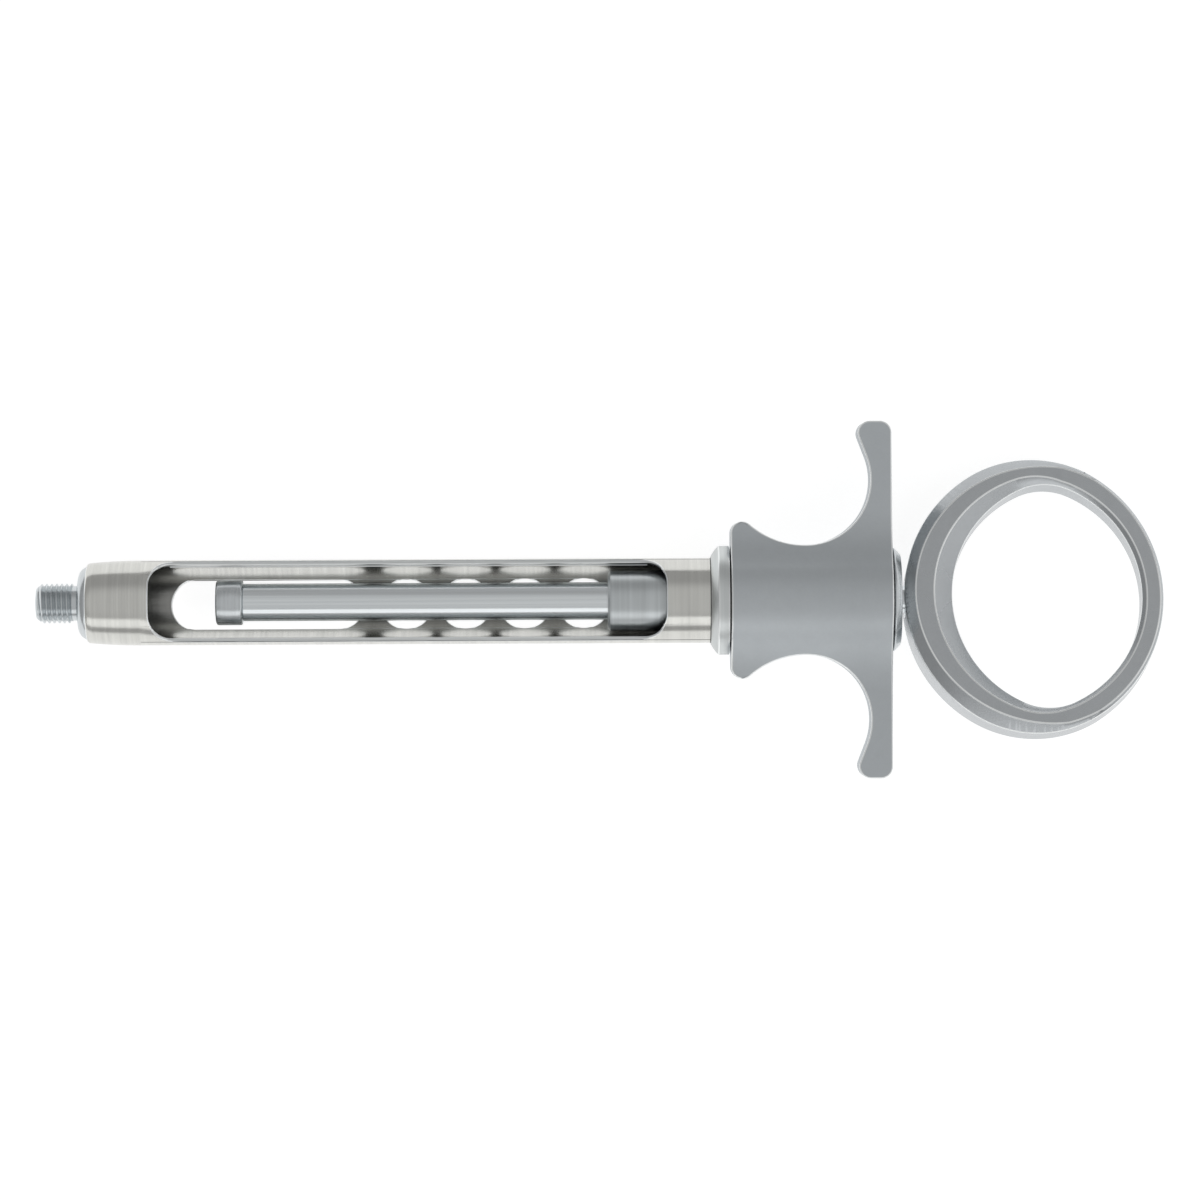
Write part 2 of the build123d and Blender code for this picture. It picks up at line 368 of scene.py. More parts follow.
def hand_over(
    piece: Piece, body: Body, node: str, finishes: list["Finish"], roll: float = 0.0
) -> None:
    """Bring a finished piece to metres, shade it, dress it and put it on its body.

    Args:
        piece: The piece, in millimetres.
        body: The body that it rides on.
        node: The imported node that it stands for.
        finishes: Its finishes, in the order of its faces' material numbers.
        roll: Turn about the axis, in degrees.
    """
    select_only(piece)
    piece.scale = (MM, MM, MM)
    piece.rotation_euler = (math.radians(roll), 0, 0)
    bpy.ops.object.transform_apply(location=True, rotation=True, scale=True)
    bpy.ops.object.shade_smooth_by_angle(angle=math.radians(SMOOTH_ANGLE))
    apply(piece, "WEIGHTED_NORMAL", keep_sharp=True)
    while len(piece.data.materials) < len(finishes):
        piece.data.materials.append(None)
    for number, finish in enumerate(finishes):
        piece.data.materials[number] = finish.material()
    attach(piece, body.value)
    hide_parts(node)
    LOG.info("%s stands for %s with %d faces", piece.name, node, len(piece.data.polygons))


def add_node(tree: Tree, kind: str, sockets: dict[str | int, object], **settings: object) -> Node:
    """Add a shader node.

    Args:
        tree: The tree that gets it.
        kind: Its type, without the leading ShaderNode.
        sockets: For each input, a value or the output that feeds it.
        settings: The node's own settings, such as its operation.

    Returns:
        The node.
    """
    added = tree.nodes.new("ShaderNode" + kind)
    for name, value in settings.items():
        setattr(added, name, value)
    for name, value in sockets.items():
        if isinstance(value, Socket):
            tree.links.new(value, added.inputs[name])
        else:
            added.inputs[name].default_value = value
    return added


@dataclass(frozen=True)
class Finish:
    """A surface finish, made once as a procedural material and shared by name."""

    name: str
    colour: Colour = (0.60, 0.63, 0.645)
    roughness: float = 0.16
    roughness_spread: float = 0.05
    cloud_scale: float = 70.0

    def material(self) -> bpy.types.Material:
        """Make the material, or find it once it is made.

        Returns:
            The finish's material.
        """
        found = bpy.data.materials.get(self.name)
        if found:
            return found
        material = bpy.data.materials.new(self.name)
        material.use_nodes = True
        tree = material.node_tree
        shader = tree.nodes["Principled BSDF"]
        shader.inputs["Base Color"].default_value = (*self.colour, 1.0)
        place = add_node(tree, "TexCoord", {}).outputs["Object"]
        cloud_ends = {"Vector": place, "Scale": self.cloud_scale}
        cloud = add_node(tree, "Group", cloud_ends, node_tree=smudge_group())
        ends = {"To Min": self.roughness, "To Max": self.roughness + self.roughness_spread}
        rough = add_node(tree, "MapRange", {"Value": cloud.outputs["Mask"], **ends})
        tree.links.new(rough.outputs["Result"], shader.inputs["Roughness"])
        self.dress(tree, shader, place)
        return material

    def dress(self, tree: Tree, shader: Node, place: Socket) -> None:
        """Add what the finish has besides its colour and its cloudy roughness.

        Args:
            tree: The material's node tree.
            shader: Its Principled shader.
            place: Socket with the place on the object.
        """


@dataclass(frozen=True)
class SteelFinish(Finish):
    """Bare stainless steel with a brushed or satin grain."""

    streak: float = 0.1
    grain: Grain = Grain.AROUND
    grain_height: float = 0.004

    def dress(self, tree: Tree, shader: Node, place: Socket) -> None:
        """Metal with its grain in colour and bump."""
        shader.inputs["Metallic"].default_value = 1.0
        stretch = add_node(tree, "Mapping", {"Vector": place, "Scale": self.grain.value})
        grain = add_node(tree, "Group", {"Vector": stretch.outputs["Vector"]}, node_tree=grain_group())
        lines = grain.outputs["Lines"]
        dark = (*((1 - self.streak) * c for c in self.colour), 1.0)
        light = (*((1 + self.streak) * c for c in self.colour), 1.0)
        tone = add_node(tree, "Mix", {"Factor": lines, "A": dark, "B": light}, data_type="RGBA")
        tree.links.new(tone.outputs["Result"], shader.inputs["Base Color"])
        bump = add_node(tree, "Bump", {"Height": lines, "Distance": self.grain_height * MM})
        tree.links.new(bump.outputs["Normal"], shader.inputs["Normal"])


@dataclass(frozen=True)
class PaintedShadeBoreFinish(SteelFinish):
    """Reamed bore, with painted shade along its floor and high up under the rails of the window."""

    depth: float = 5.42
    # Painted shade as (height in millimetres, share of the colour kept): darker on the floor and high up
    # under the rails
    painted_shades: tuple[Point, ...] = ((-4.7, 0.48), (-3.7, 1.0), (-1.6, 1.0), (-0.7, 0.25))

    def dress(self, tree: Tree, shader: Node, place: Socket) -> None:
        """The steel, with painted shade multiplied onto its colour by the height."""
        super().dress(tree, shader, place)
        axes = add_node(tree, "SeparateXYZ", {0: place})
        span = {"From Min": -self.depth * MM, "From Max": 0.0}
        height = add_node(tree, "MapRange", {"Value": axes.outputs["Z"], **span})
        ramp = add_node(tree, "ValToRGB", {"Fac": height.outputs["Result"]})
        stops = ramp.color_ramp.elements
        for number, (level, shade) in enumerate(self.painted_shades):
            position = 1 + level / self.depth
            stop = stops[number] if number < 2 else stops.new(position)
            stop.position = position
            stop.color = (shade, shade, shade, 1.0)
        steel = shader.inputs["Base Color"].links[0].from_socket
        ends = {"Factor": 1.0, "A": steel, "B": ramp.outputs["Color"]}
        shaded = add_node(tree, "Mix", ends, data_type="RGBA", blend_type="MULTIPLY")
        tree.links.new(shaded.outputs["Result"], shader.inputs["Base Color"])


def new_group(name: str, output: str) -> tuple[Tree, Node, Node]:
    """An empty shader node group with a Vector input and one number as its output.

    Args:
        name: Name of the group.
        output: Name of its output.

    Returns:
        The group, its input node and its output node.
    """
    group = bpy.data.node_groups.new(name, "ShaderNodeTree")
    group.interface.new_socket("Vector", in_out="INPUT", socket_type="NodeSocketVector")
    group.interface.new_socket(output, in_out="OUTPUT", socket_type="NodeSocketFloat")
    return group, group.nodes.new("NodeGroupInput"), group.nodes.new("NodeGroupOutput")


def grain_group() -> Tree:
    """Fine brush lines from two noises of different pitch, as one mask from 0 to 1.

    Returns:
        The group, made at its first use.
    """
    found = bpy.data.node_groups.get("brush_lines")
    if found:
        return found
    group, entry, out = new_group("brush_lines", "Lines")
    noises = []
    for pitch in (1.0, 0.27):
        ends = {"Vector": entry.outputs["Vector"], "Scale": pitch, "Detail": 3.0}
        noise = add_node(group, "TexNoise", ends)
        noises.append(noise.outputs["Fac"])
    both = add_node(group, "Math", {0: noises[0], 1: noises[1]}, operation="ADD")
    spread = add_node(group, "MapRange", {"Value": both.outputs[0], "From Min": 0.65, "From Max": 1.35})
    group.links.new(spread.outputs["Result"], out.inputs["Lines"])
    return group


def smudge_group() -> Tree:
    """Soft cloudy mask for uneven polish.

    Returns:
        The group, made at its first use.
    """
    found = bpy.data.node_groups.get("smudges")
    if found:
        return found
    group, entry, out = new_group("smudges", "Mask")
    group.interface.new_socket("Scale", in_out="INPUT", socket_type="NodeSocketFloat")
    ends = {name: entry.outputs[name] for name in ("Vector", "Scale")}
    cloud = add_node(group, "TexNoise", {**ends, "Detail": 4.0, "Roughness": 0.6})
    spread = add_node(group, "MapRange", {"Value": cloud.outputs["Fac"], "From Min": 0.35, "From Max": 0.65})
    group.links.new(spread.outputs["Result"], out.inputs["Mask"])
    return group


@dataclass
class Part:
    """Sub-assembly with its finishes, in the order of its faces' material numbers."""

    finishes: list[Finish]

    def build(self) -> None:
        """Build and dress its pieces."""


@dataclass
class NeedleTip(Part):
    """Turned tip with the needle thread, the relief neck and the domed shoulder."""

    thread_radius: float = 3.0
    pitch: float = 0.75
    thread_depth: float = 0.43
    thread_length: float = 5.38
    thread_lead: float = 0.82
    thread_tail: float = 0.18
    thread_steps: int = 72
    crest_share: float = 0.125
    crest_margin: float = 0.01
    turn_gap: float = 0.02
    root_sink: float = 0.2
    blank_sink: float = 0.35
    tip_chamfer: float = 0.3
    neck_radius: float = 2.6
    neck_length: float = 0.67
    shoulder_length: float = 1.51
    shoulder_face_radius: float = 3.8
    shoulder_face_depth: float = 0.21
    shoulder_radius: float = 5.46
    dome_radius: float = 1.71
    dome_end_angle: float = 104.0
    dome_steps: int = 14
    plug_radius: float = 4.47
    passage_radius: float = 0.9
    seam_width: float = 0.17
    seam_depth: float = 0.4
    steps: int = 128

    def build(self) -> None:
        """Build and dress the tip."""
        at = extent("needle_adaptor")
        relief_x = at.front + self.thread_length
        shoulder_x = relief_x + self.neck_length
        seam_x = shoulder_x + self.shoulder_length
        seam_floor = self.shoulder_radius - self.seam_depth
        dome_x = shoulder_x + self.shoulder_face_depth + self.dome_radius
        root = self.thread_radius - self.thread_depth
        profile = [
            (at.front, self.passage_radius),
            (at.front, root - self.tip_chamfer),
            (at.front + self.tip_chamfer, root),
            (relief_x, root),
            (relief_x, self.neck_radius),
            (shoulder_x, self.neck_radius),
        ]
        dome_centre = (dome_x, self.shoulder_face_radius)
        profile += arc(dome_centre, self.dome_radius, 180, self.dome_end_angle, self.dome_steps)
        profile += [
            (seam_x - self.seam_width, self.shoulder_radius),
            (seam_x - self.seam_width, seam_floor),
            (seam_x, seam_floor),
            (seam_x, self.plug_radius),
            (at.rear, self.plug_radius),
            (at.rear, self.passage_radius),
        ]
        tip = turned("needle_tip", profile, self.steps)
        combine(tip, self.thread(at.front, relief_x, root), "UNION")
        hand_over(tip, Body.BARREL, "needle_adaptor", self.finishes)

    def thread(self, front_x: float, rear_x: float, root: float) -> Piece:
        """The helical crests, cut to length and chamfered at both ends.

        Args:
            front_x: Station where the thread begins.
            rear_x: Station where it ends.
            root: Radius of its root.

        Returns:
            The crests, which sink a little into the core.
        """
        half_pitch = self.pitch / 2
        half_crest = self.pitch * self.crest_share / 2
        section = [
            (-half_pitch, root - self.root_sink),
            (-half_pitch, root),
            (-half_crest, self.thread_radius),
            (half_crest, self.thread_radius),
            (half_pitch - self.turn_gap, root),
            (half_pitch - self.turn_gap, root - self.root_sink),
        ]
        start_x = front_x - self.pitch
        turns = math.ceil((rear_x - front_x) / self.pitch) + 2
        section = [(start_x + x, radius) for x, radius in section]
        crests = wound("thread", section, self.pitch, turns, self.thread_steps)
        rim = self.thread_radius + self.crest_margin
        blank = [
            (front_x, root - self.blank_sink),
            (front_x, self.thread_radius - self.thread_lead),
            (front_x + self.thread_lead, rim),
            (rear_x - self.thread_tail, rim),
            (rear_x, rim - self.thread_tail),
            (rear_x, root - self.blank_sink),
        ]
        combine(crests, turned("thread_blank", blank, self.steps), "INTERSECT")
        return crests


@dataclass
class Barrel(Part):
    """Tube with its loading window, long rear slot and round rear holes."""

    bore_radius: float = 5.42
    nose_edge_radius: float = 5.78
    nose_edge_length: float = 0.33
    nose_taper_radius: float = 5.99
    nose_length: float = 8.13
    front_wall_length: float = 7.2
    front_bore_radius: float = 4.5
    window_start: float = 9.43
    window_length: float = 76.95
    window_width: float = 10.9
    corner_radius: float = 3.1
    rail_height: float = 2.0
    mill_radius: float = 5.0
    back_width: float = 7.5
    slot_inset: float = 2.72
    slot_length: float = 28.8
    web_length: float = 2.73
    hole_pitch: float = 8.88
    hole_count: int = 4
    roll: float = -4.3
    seam_width: float = 0.12
    edge_break: float = 0.16
    edge_angle: float = 50.0
    wall_reach: float = 10.0
    facing: float = 0.9
    margin: float = 0.02
    steps: int = 256
    nose_steps: int = 10
    corner_steps: int = 18
    mill_steps: int = 24
    hole_steps: int = 80

    def build(self) -> None:
        """Build and dress the barrel."""
        at = extent("barrel")
        nose_x = at.front + self.nose_length
        rise = at.radius - self.nose_taper_radius
        run = self.nose_length - self.nose_edge_length
        nose_radius = (run**2 + rise**2) / (2 * rise)
        nose_turn = math.degrees(math.asin(run / nose_radius))
        nose_centre = (nose_x, at.radius - nose_radius)
        profile = arc(nose_centre, nose_radius, 90, 90 + nose_turn, self.nose_steps)
        profile += [
            (at.front, self.nose_edge_radius),
            (at.front, self.front_bore_radius),
            (at.front + self.front_wall_length, self.front_bore_radius),
            (at.front + self.front_wall_length, self.bore_radius),
            (at.rear, self.bore_radius),
            (at.rear, at.radius),
        ]
        # Extra stations make flat bands at the seams beside the collar, which are painted near-black as
        # shade
        profile += [(x, at.radius) for seam in reversed(self.seams()) for x in reversed(seam)]
        tube = turned("barrel_tube", profile, self.steps)
        for cutter in [self.window(), self.rail_mill(), *self.back_openings()]:
            combine(tube, cutter)
        break_edges(tube, self.edge_break, 2, self.edge_angle)
        self.number_faces(tube)
        hand_over(tube, Body.BARREL, "barrel", self.finishes, self.roll)

    def seams(self) -> list[Point]:
        """Where the seams in front of the collar and behind it, which carry painted shade, begin and end
        along the axis.
        """
        collar = extent("grip_collar")
        return [(collar.front - self.seam_width, collar.front), (collar.rear, extent("finger_grip").front)]

    def number_faces(self, tube: Piece) -> None:
        """Give the bore's faces material number 2, the milled walls and rails 3 and the painted shade on the
        seams 4.

        Args:
            tube: The finished tube.
        """
        at = extent("barrel")
        seams = self.seams()
        for face in tube.data.polygons:
            # Bevel faces keep their painted highlight
            if face.material_index == 1:
                continue
            x, y, z = face.center
            reach = math.hypot(y, z)
            outward = (face.normal.y * y + face.normal.z * z) / reach
            if any(front_x < x < rear_x for front_x, rear_x in seams) and outward > self.facing:
                face.material_index = 4
            elif reach < self.bore_radius + self.margin:
                face.material_index = 2
            elif at.front + OVERCUT < x < at.rear - OVERCUT and outward < self.facing:
                face.material_index = 3

    def rail_mill(self) -> Piece:
        """Cutter that mills the window's rails flat.

        Returns:
            The cutter, with the run-out of its wheel at both ends.
        """
        at = extent("barrel")
        front_x = at.front + self.window_start
        rear_x = front_x + self.window_length
        radius = self.mill_radius
        height = self.rail_height + radius
        outline = arc((front_x + radius, height), radius, 180, 270, self.mill_steps)
        outline += arc((rear_x - radius, height), radius, 270, 360, self.mill_steps)
        reach = at.radius + OVERCUT
        return prism("rail_mill", outline, Axis.Y, -reach, 2 * reach)

    def window(self) -> Piece:
        """Cutter for the loading window.

        Returns:
            The cutter, above the axis.
        """
        at = extent("barrel")
        front_x = at.front + self.window_start
        rear_x = front_x + self.window_length
        half = self.window_width / 2
        inset = self.corner_radius
        corners = [
            ((rear_x - inset, half - inset), 0),
            ((front_x + inset, half - inset), 90),
            ((front_x + inset, inset - half), 180),
            ((rear_x - inset, inset - half), 270),
        ]
        outline = []
        for centre, start in corners:
            outline += arc(centre, inset, start, start + 90, self.corner_steps)
        return prism("window_cutter", outline, Axis.Z, 0, self.wall_reach)

    def back_openings(self) -> list[Piece]:
        """Cutters for the back wall.

        Returns:
            The cutters for its slot and its holes.
        """
        at = extent("barrel")
        radius = self.back_width / 2
        slot_front_x = at.front + self.window_start + self.slot_inset
        slot_rear_x = slot_front_x + self.slot_length
        first_hole_x = slot_rear_x + self.web_length + radius
        slot = arc((slot_rear_x - radius, 0), radius, -90, 90, self.hole_steps // 2)
        slot += arc((slot_front_x + radius, 0), radius, 90, 270, self.hole_steps // 2)
        outlines = [slot]
        for number in range(self.hole_count):
            centre = (first_hole_x + number * self.hole_pitch, 0)
            outlines.append(arc(centre, radius, 0, 360, self.hole_steps)[:-1])
        return [prism("back_cutter", outline, Axis.Z, 0, -self.wall_reach) for outline in outlines]


@dataclass
class Collar(Part):
    """Stop collar in front of the finger grip, with a bowed cone at its front."""

    bore_radius: float = 6.37
    cone_length: float = 1.13
    cone_start_angle: float = 151.0
    cone_end_angle: float = 136.0
    edge_break: float = 0.13
    edge_angle: float = 30.0
    cone_steps: int = 8
    steps: int = 192

    def build(self) -> None:
        """Build and dress the collar."""
        at = extent("grip_collar")
        start, end = math.radians(self.cone_start_angle), math.radians(self.cone_end_angle)
        bow = self.cone_length / (math.cos(end) - math.cos(start))
        centre = (at.front + self.cone_length - bow * math.cos(end), at.radius - bow * math.sin(end))
        profile = [(at.front, self.bore_radius)]
        profile += arc(centre, bow, self.cone_start_angle, self.cone_end_angle, self.cone_steps)
        profile += [(at.rear, at.radius), (at.rear, self.bore_radius)]
        ring = turned("collar_ring", profile, self.steps)
        break_edges(ring, self.edge_break, 2, self.edge_angle)
        hand_over(ring, Body.BARREL, "grip_collar", self.finishes)


@dataclass
class FingerGrip(Part):
    """Hub and wings of the finger grip, blended in section and scooped in plan."""

    hub_radius: float = 8.19
    wing_thickness: float = 7.0
    blend_radius: float = 13.65
    scoop_station: float = 11.1
    scoop_radius: float = 9.7
    scoop_front_radius: float = 12.6
    scoop_exit_angle: float = 21.2
    lobe_radius: float = 1.7
    tip_radius: float = 1.8
    bore_radius: float = 6.4
    bore_chamfer: float = 0.3
    edge_break: float = 0.22
    edge_angle: float = 28.0
    bore_steps: int = 128
    blend_steps: int = 24
    crown_steps: int = 40
    tip_steps: int = 16
    scoop_steps: int = 56
    lobe_steps: int = 20

    def section(self) -> list[Point]:
        """Upper half of the section across the axis.

        Returns:
            Its points, from the +Y tip over the crown to the -Y tip.
        """
        half_span = extent("finger_grip").radius
        flat = self.wing_thickness / 2
        reach = self.hub_radius + self.blend_radius
        blend_y = math.sqrt(reach**2 - (flat + self.blend_radius) ** 2)
        turn = math.degrees(math.asin(blend_y / reach))
        centre_z = flat + self.blend_radius
        points = [(half_span + OVERCUT, flat)]
        points += arc((blend_y, centre_z), self.blend_radius, 270, 270 - turn, self.blend_steps)
        points += arc((0, 0), self.hub_radius, 90 - turn, 90 + turn, self.crown_steps)[1:]
        points += arc((-blend_y, centre_z), self.blend_radius, 270 + turn, 270, self.blend_steps)[1:]
        points += [(-half_span - OVERCUT, flat)]
        return points

    def plan(self) -> list[Point]:
        """Outline of the +Y wing from above.

        Returns:
            Its points, from the hub's rear face round to its front face.
        """
        at = extent("finger_grip")
        scoop_x = at.front + self.scoop_station
        rear_y = self.hub_radius + self.scoop_radius
        front_y = self.hub_radius + self.scoop_front_radius
        reach = self.scoop_front_radius + self.lobe_radius
        lobe_x = at.front + self.lobe_radius
        lobe_y = front_y - math.sqrt(reach**2 - (scoop_x - lobe_x) ** 2)
        lobe_turn = math.degrees(math.atan2(front_y - lobe_y, scoop_x - lobe_x))
        exit_turn = self.scoop_exit_angle
        exit_angle = math.radians(exit_turn)
        exit_x = scoop_x + self.scoop_radius * math.cos(exit_angle)
        exit_y = rear_y + self.scoop_radius * math.sin(exit_angle)
        tip_y = at.radius - self.tip_radius
        side_x = exit_x - (tip_y - exit_y) * math.tan(exit_angle)
        tip_x = side_x + self.tip_radius / math.cos(exit_angle)
        points = [(at.rear, 0.0)]
        points += arc((at.rear - self.tip_radius, tip_y), self.tip_radius, 0, 90, self.tip_steps)
        points += arc((tip_x, tip_y), self.tip_radius, 90, 180 + exit_turn, self.blend_steps)
        points += arc((scoop_x, rear_y), self.scoop_radius, exit_turn, -90, self.scoop_steps)
        front_arc = arc((scoop_x, front_y), self.scoop_front_radius, 270, 180 + lobe_turn, self.blend_steps)
        points += front_arc[1:]
        points += arc((lobe_x, lobe_y), self.lobe_radius, lobe_turn, 180, self.lobe_steps)[1:]
        points += [(at.front, 0.0)]
        return points

    def build(self) -> None:
        """Build and dress the grip."""
        at = extent("finger_grip")
        top = self.section()
        section = top + [(y, -z) for y, z in reversed(top)]
        grip = prism("grip_casting", section, Axis.X, at.front - OVERCUT, at.length + 2 * OVERCUT)
        wing = self.plan()
        outline = wing + [(x, -y) for x, y in reversed(wing)][1:-1]
        depth = self.hub_radius + OVERCUT
        combine(grip, prism("grip_plan", outline, Axis.Z, -depth, 2 * depth), "INTERSECT")
        break_edges(grip, self.edge_break, 3, self.edge_angle)
        mouth = self.bore_radius + self.bore_chamfer + OVERCUT
        bore = [
            (at.front - OVERCUT, 0.0),
            (at.front - OVERCUT, mouth),
            (at.front + self.bore_chamfer, self.bore_radius),
            (at.rear - self.bore_chamfer, self.bore_radius),
            (at.rear + OVERCUT, mouth),
            (at.rear + OVERCUT, 0.0),
        ]
        combine(grip, turned("grip_bore", bore, self.bore_steps))
        hand_over(grip, Body.GRIP, "finger_grip", self.finishes)


@dataclass
class RearCap(Part):
    """Chamfered cap that closes the barrel behind the grip."""

    rim_length: float = 0.2
    rim_break: float = 0.08
    chamfer: float = 0.85
    edge_run: float = 0.06
    face_rise: float = 0.02
    face_share: float = 0.62
    bore_radius: float = 2.85
    mouth: float = 0.25
    spigot_radius: float = 5.39
    spigot_length: float = 7.0
    groove_inset: float = 2.6
    groove_width: float = 1.7
    groove_radius: float = 4.25
    steps: int = 192

    def build(self) -> None:
        """Build and dress the cap."""
        at = extent("rear_cap")
        seat_x = at.front + self.spigot_length
        chamfer_x = seat_x + self.rim_length
        groove_x = at.front + self.groove_inset
        crown_x = chamfer_x + self.chamfer
        crown_radius = at.radius - self.chamfer
        profile = [
            (seat_x, self.spigot_radius),
            (seat_x, at.radius - self.rim_break),
            (seat_x + self.rim_break, at.radius),
            (chamfer_x, at.radius),
            (chamfer_x + self.edge_run, at.radius - self.edge_run / 2),
            (crown_x, crown_radius),
            (crown_x + self.edge_run, crown_radius - 2 * self.edge_run),
            (at.rear - self.face_rise, at.radius * self.face_share),
            (at.rear, self.bore_radius + self.mouth),
            (at.rear - self.mouth, self.bore_radius),
            (groove_x + self.groove_width, self.bore_radius),
            (groove_x + self.groove_width, self.groove_radius),
            (groove_x, self.groove_radius),
            (groove_x, self.bore_radius),
            (at.front, self.bore_radius),
            (at.front, self.spigot_radius),
        ]
        cap = turned("cap_turning", profile, self.steps)
        hand_over(cap, Body.BARREL, "rear_cap", self.finishes)


@dataclass
class PlainRing(Part):
    """Turned ring with broken edges."""

    node: str
    name: str
    inner_radius: float
    edge: float
    slot: Slot
    steps: int = 128

    def build(self) -> None:
        """Build and dress the ring."""
        at = extent(self.node)
        edge = self.edge
        profile = [
            (at.front, self.inner_radius + edge),
            (at.front, at.radius - edge),
            (at.front + edge, at.radius),
            (at.rear - edge, at.radius),
            (at.rear, at.radius - edge),
            (at.rear, self.inner_radius + edge),
            (at.rear - edge, self.inner_radius),
            (at.front + edge, self.inner_radius),
        ]
        ring = turned(self.name, profile, self.steps)
        hand_over(ring, Body.BARREL, self.node, self.finishes)


@dataclass
class Sleeve(Part):
    """Sliding sleeve with its flange."""

    radius: float = 4.5
    bore_radius: float = 3.1
    chamfer: float = 0.35
    flange_length: float = 2.0
    bore_edge: float = 0.15
    flange_edge: float = 0.1
    steps: int = 160

    def build(self) -> None:
        """Build and dress the sleeve."""
        at = extent("cartridge_sleeve")
        flange_x = at.rear - self.flange_length
        profile = [
            (at.front, self.bore_radius + self.bore_edge),
            (at.front, self.radius - self.chamfer),
            (at.front + self.chamfer, self.radius),
            (flange_x, self.radius),
            (flange_x, at.radius - self.flange_edge),
            (flange_x + self.flange_edge, at.radius),
            (at.rear - self.flange_edge, at.radius),
            (at.rear, at.radius - self.flange_edge),
            (at.rear, self.bore_radius),
            (at.front + self.bore_edge, self.bore_radius),
        ]
        sleeve = turned("sleeve_turning", profile, self.steps)
        hand_over(sleeve, Body.SLEEVE, "cartridge_sleeve", self.finishes)


@dataclass
class Plunger(Part):
    """Rod and piston head."""

    rod_radius: float = 2.8
    stud_radius: float = 1.5
    stud_length: float = 2.6
    stud_clearance: float = 0.03
    stud_end_gap: float = 0.2
    edge: float = 0.12
    head_chamfer: float = 0.3
    head_edge: float = 0.1
    neck_radius: float = 2.0
    neck_length: float = 0.5
    neck_inset: float = 0.08
    steps: int = 160

    def build(self) -> None:
        """Build and dress both pieces."""
        head = extent("piston_head")
        rod = extent("plunger_rod")
        neck_x = extent("thumb_ring").front + self.neck_inset
        profile = [
            (rod.front, 0.0),
            (rod.front, self.stud_radius),
            (head.rear, self.stud_radius),
            (head.rear, self.rod_radius - self.edge),
            (head.rear + self.edge, self.rod_radius),
            (neck_x - self.neck_length, self.rod_radius),
            (neck_x - self.neck_length, self.neck_radius),
            (neck_x, self.neck_radius),
            (neck_x, self.rod_radius),
            (rod.rear, self.rod_radius),
            (rod.rear, 0.0),
        ]
        bar = turned("rod_bar", profile, self.steps)
        hand_over(bar, Body.PLUNGER, "plunger_rod", self.finishes[:1])
        bore = self.stud_radius + self.stud_clearance
        bore_x = head.rear - self.stud_length - self.stud_end_gap
        chamfer = self.head_chamfer
        profile = [
            (head.front, 0.0),
            (head.front, head.radius - chamfer),
            (head.front + self.head_edge, head.radius - self.edge),
            (head.front + chamfer, head.radius),
            (head.rear - chamfer, head.radius),
            (head.rear - self.head_edge, head.radius - self.edge),
            (head.rear, head.radius - chamfer),
            (head.rear, bore),
            (bore_x, bore),
            (bore_x, 0.0),
        ]
        button = turned("piston_button", profile, self.steps)
        hand_over(button, Body.PLUNGER, "piston_head", self.finishes[1:])


@dataclass
class Spring(Part):
    """Coil spring behind the sleeve."""

    wire_radius: float = 0.35
    coil_radius: float = 4.2
    turns: int = 7
    steps: int = 64
    wire_steps: int = 16
    shortest: float = 0.575

    def build(self) -> None:
        """Build and dress the spring."""
        at = extent("return_spring")
        pitch = (at.length - 2 * self.wire_radius) / self.turns
        centre = (at.front + self.wire_radius, self.coil_radius)
        section = arc(centre, self.wire_radius, 0, 360, self.wire_steps)[:-1]
        coil = wound("spring_coil", section, pitch, self.turns, self.steps)
        hand_over(coil, Body.BARREL, "return_spring", self.finishes)
        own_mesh(coil)


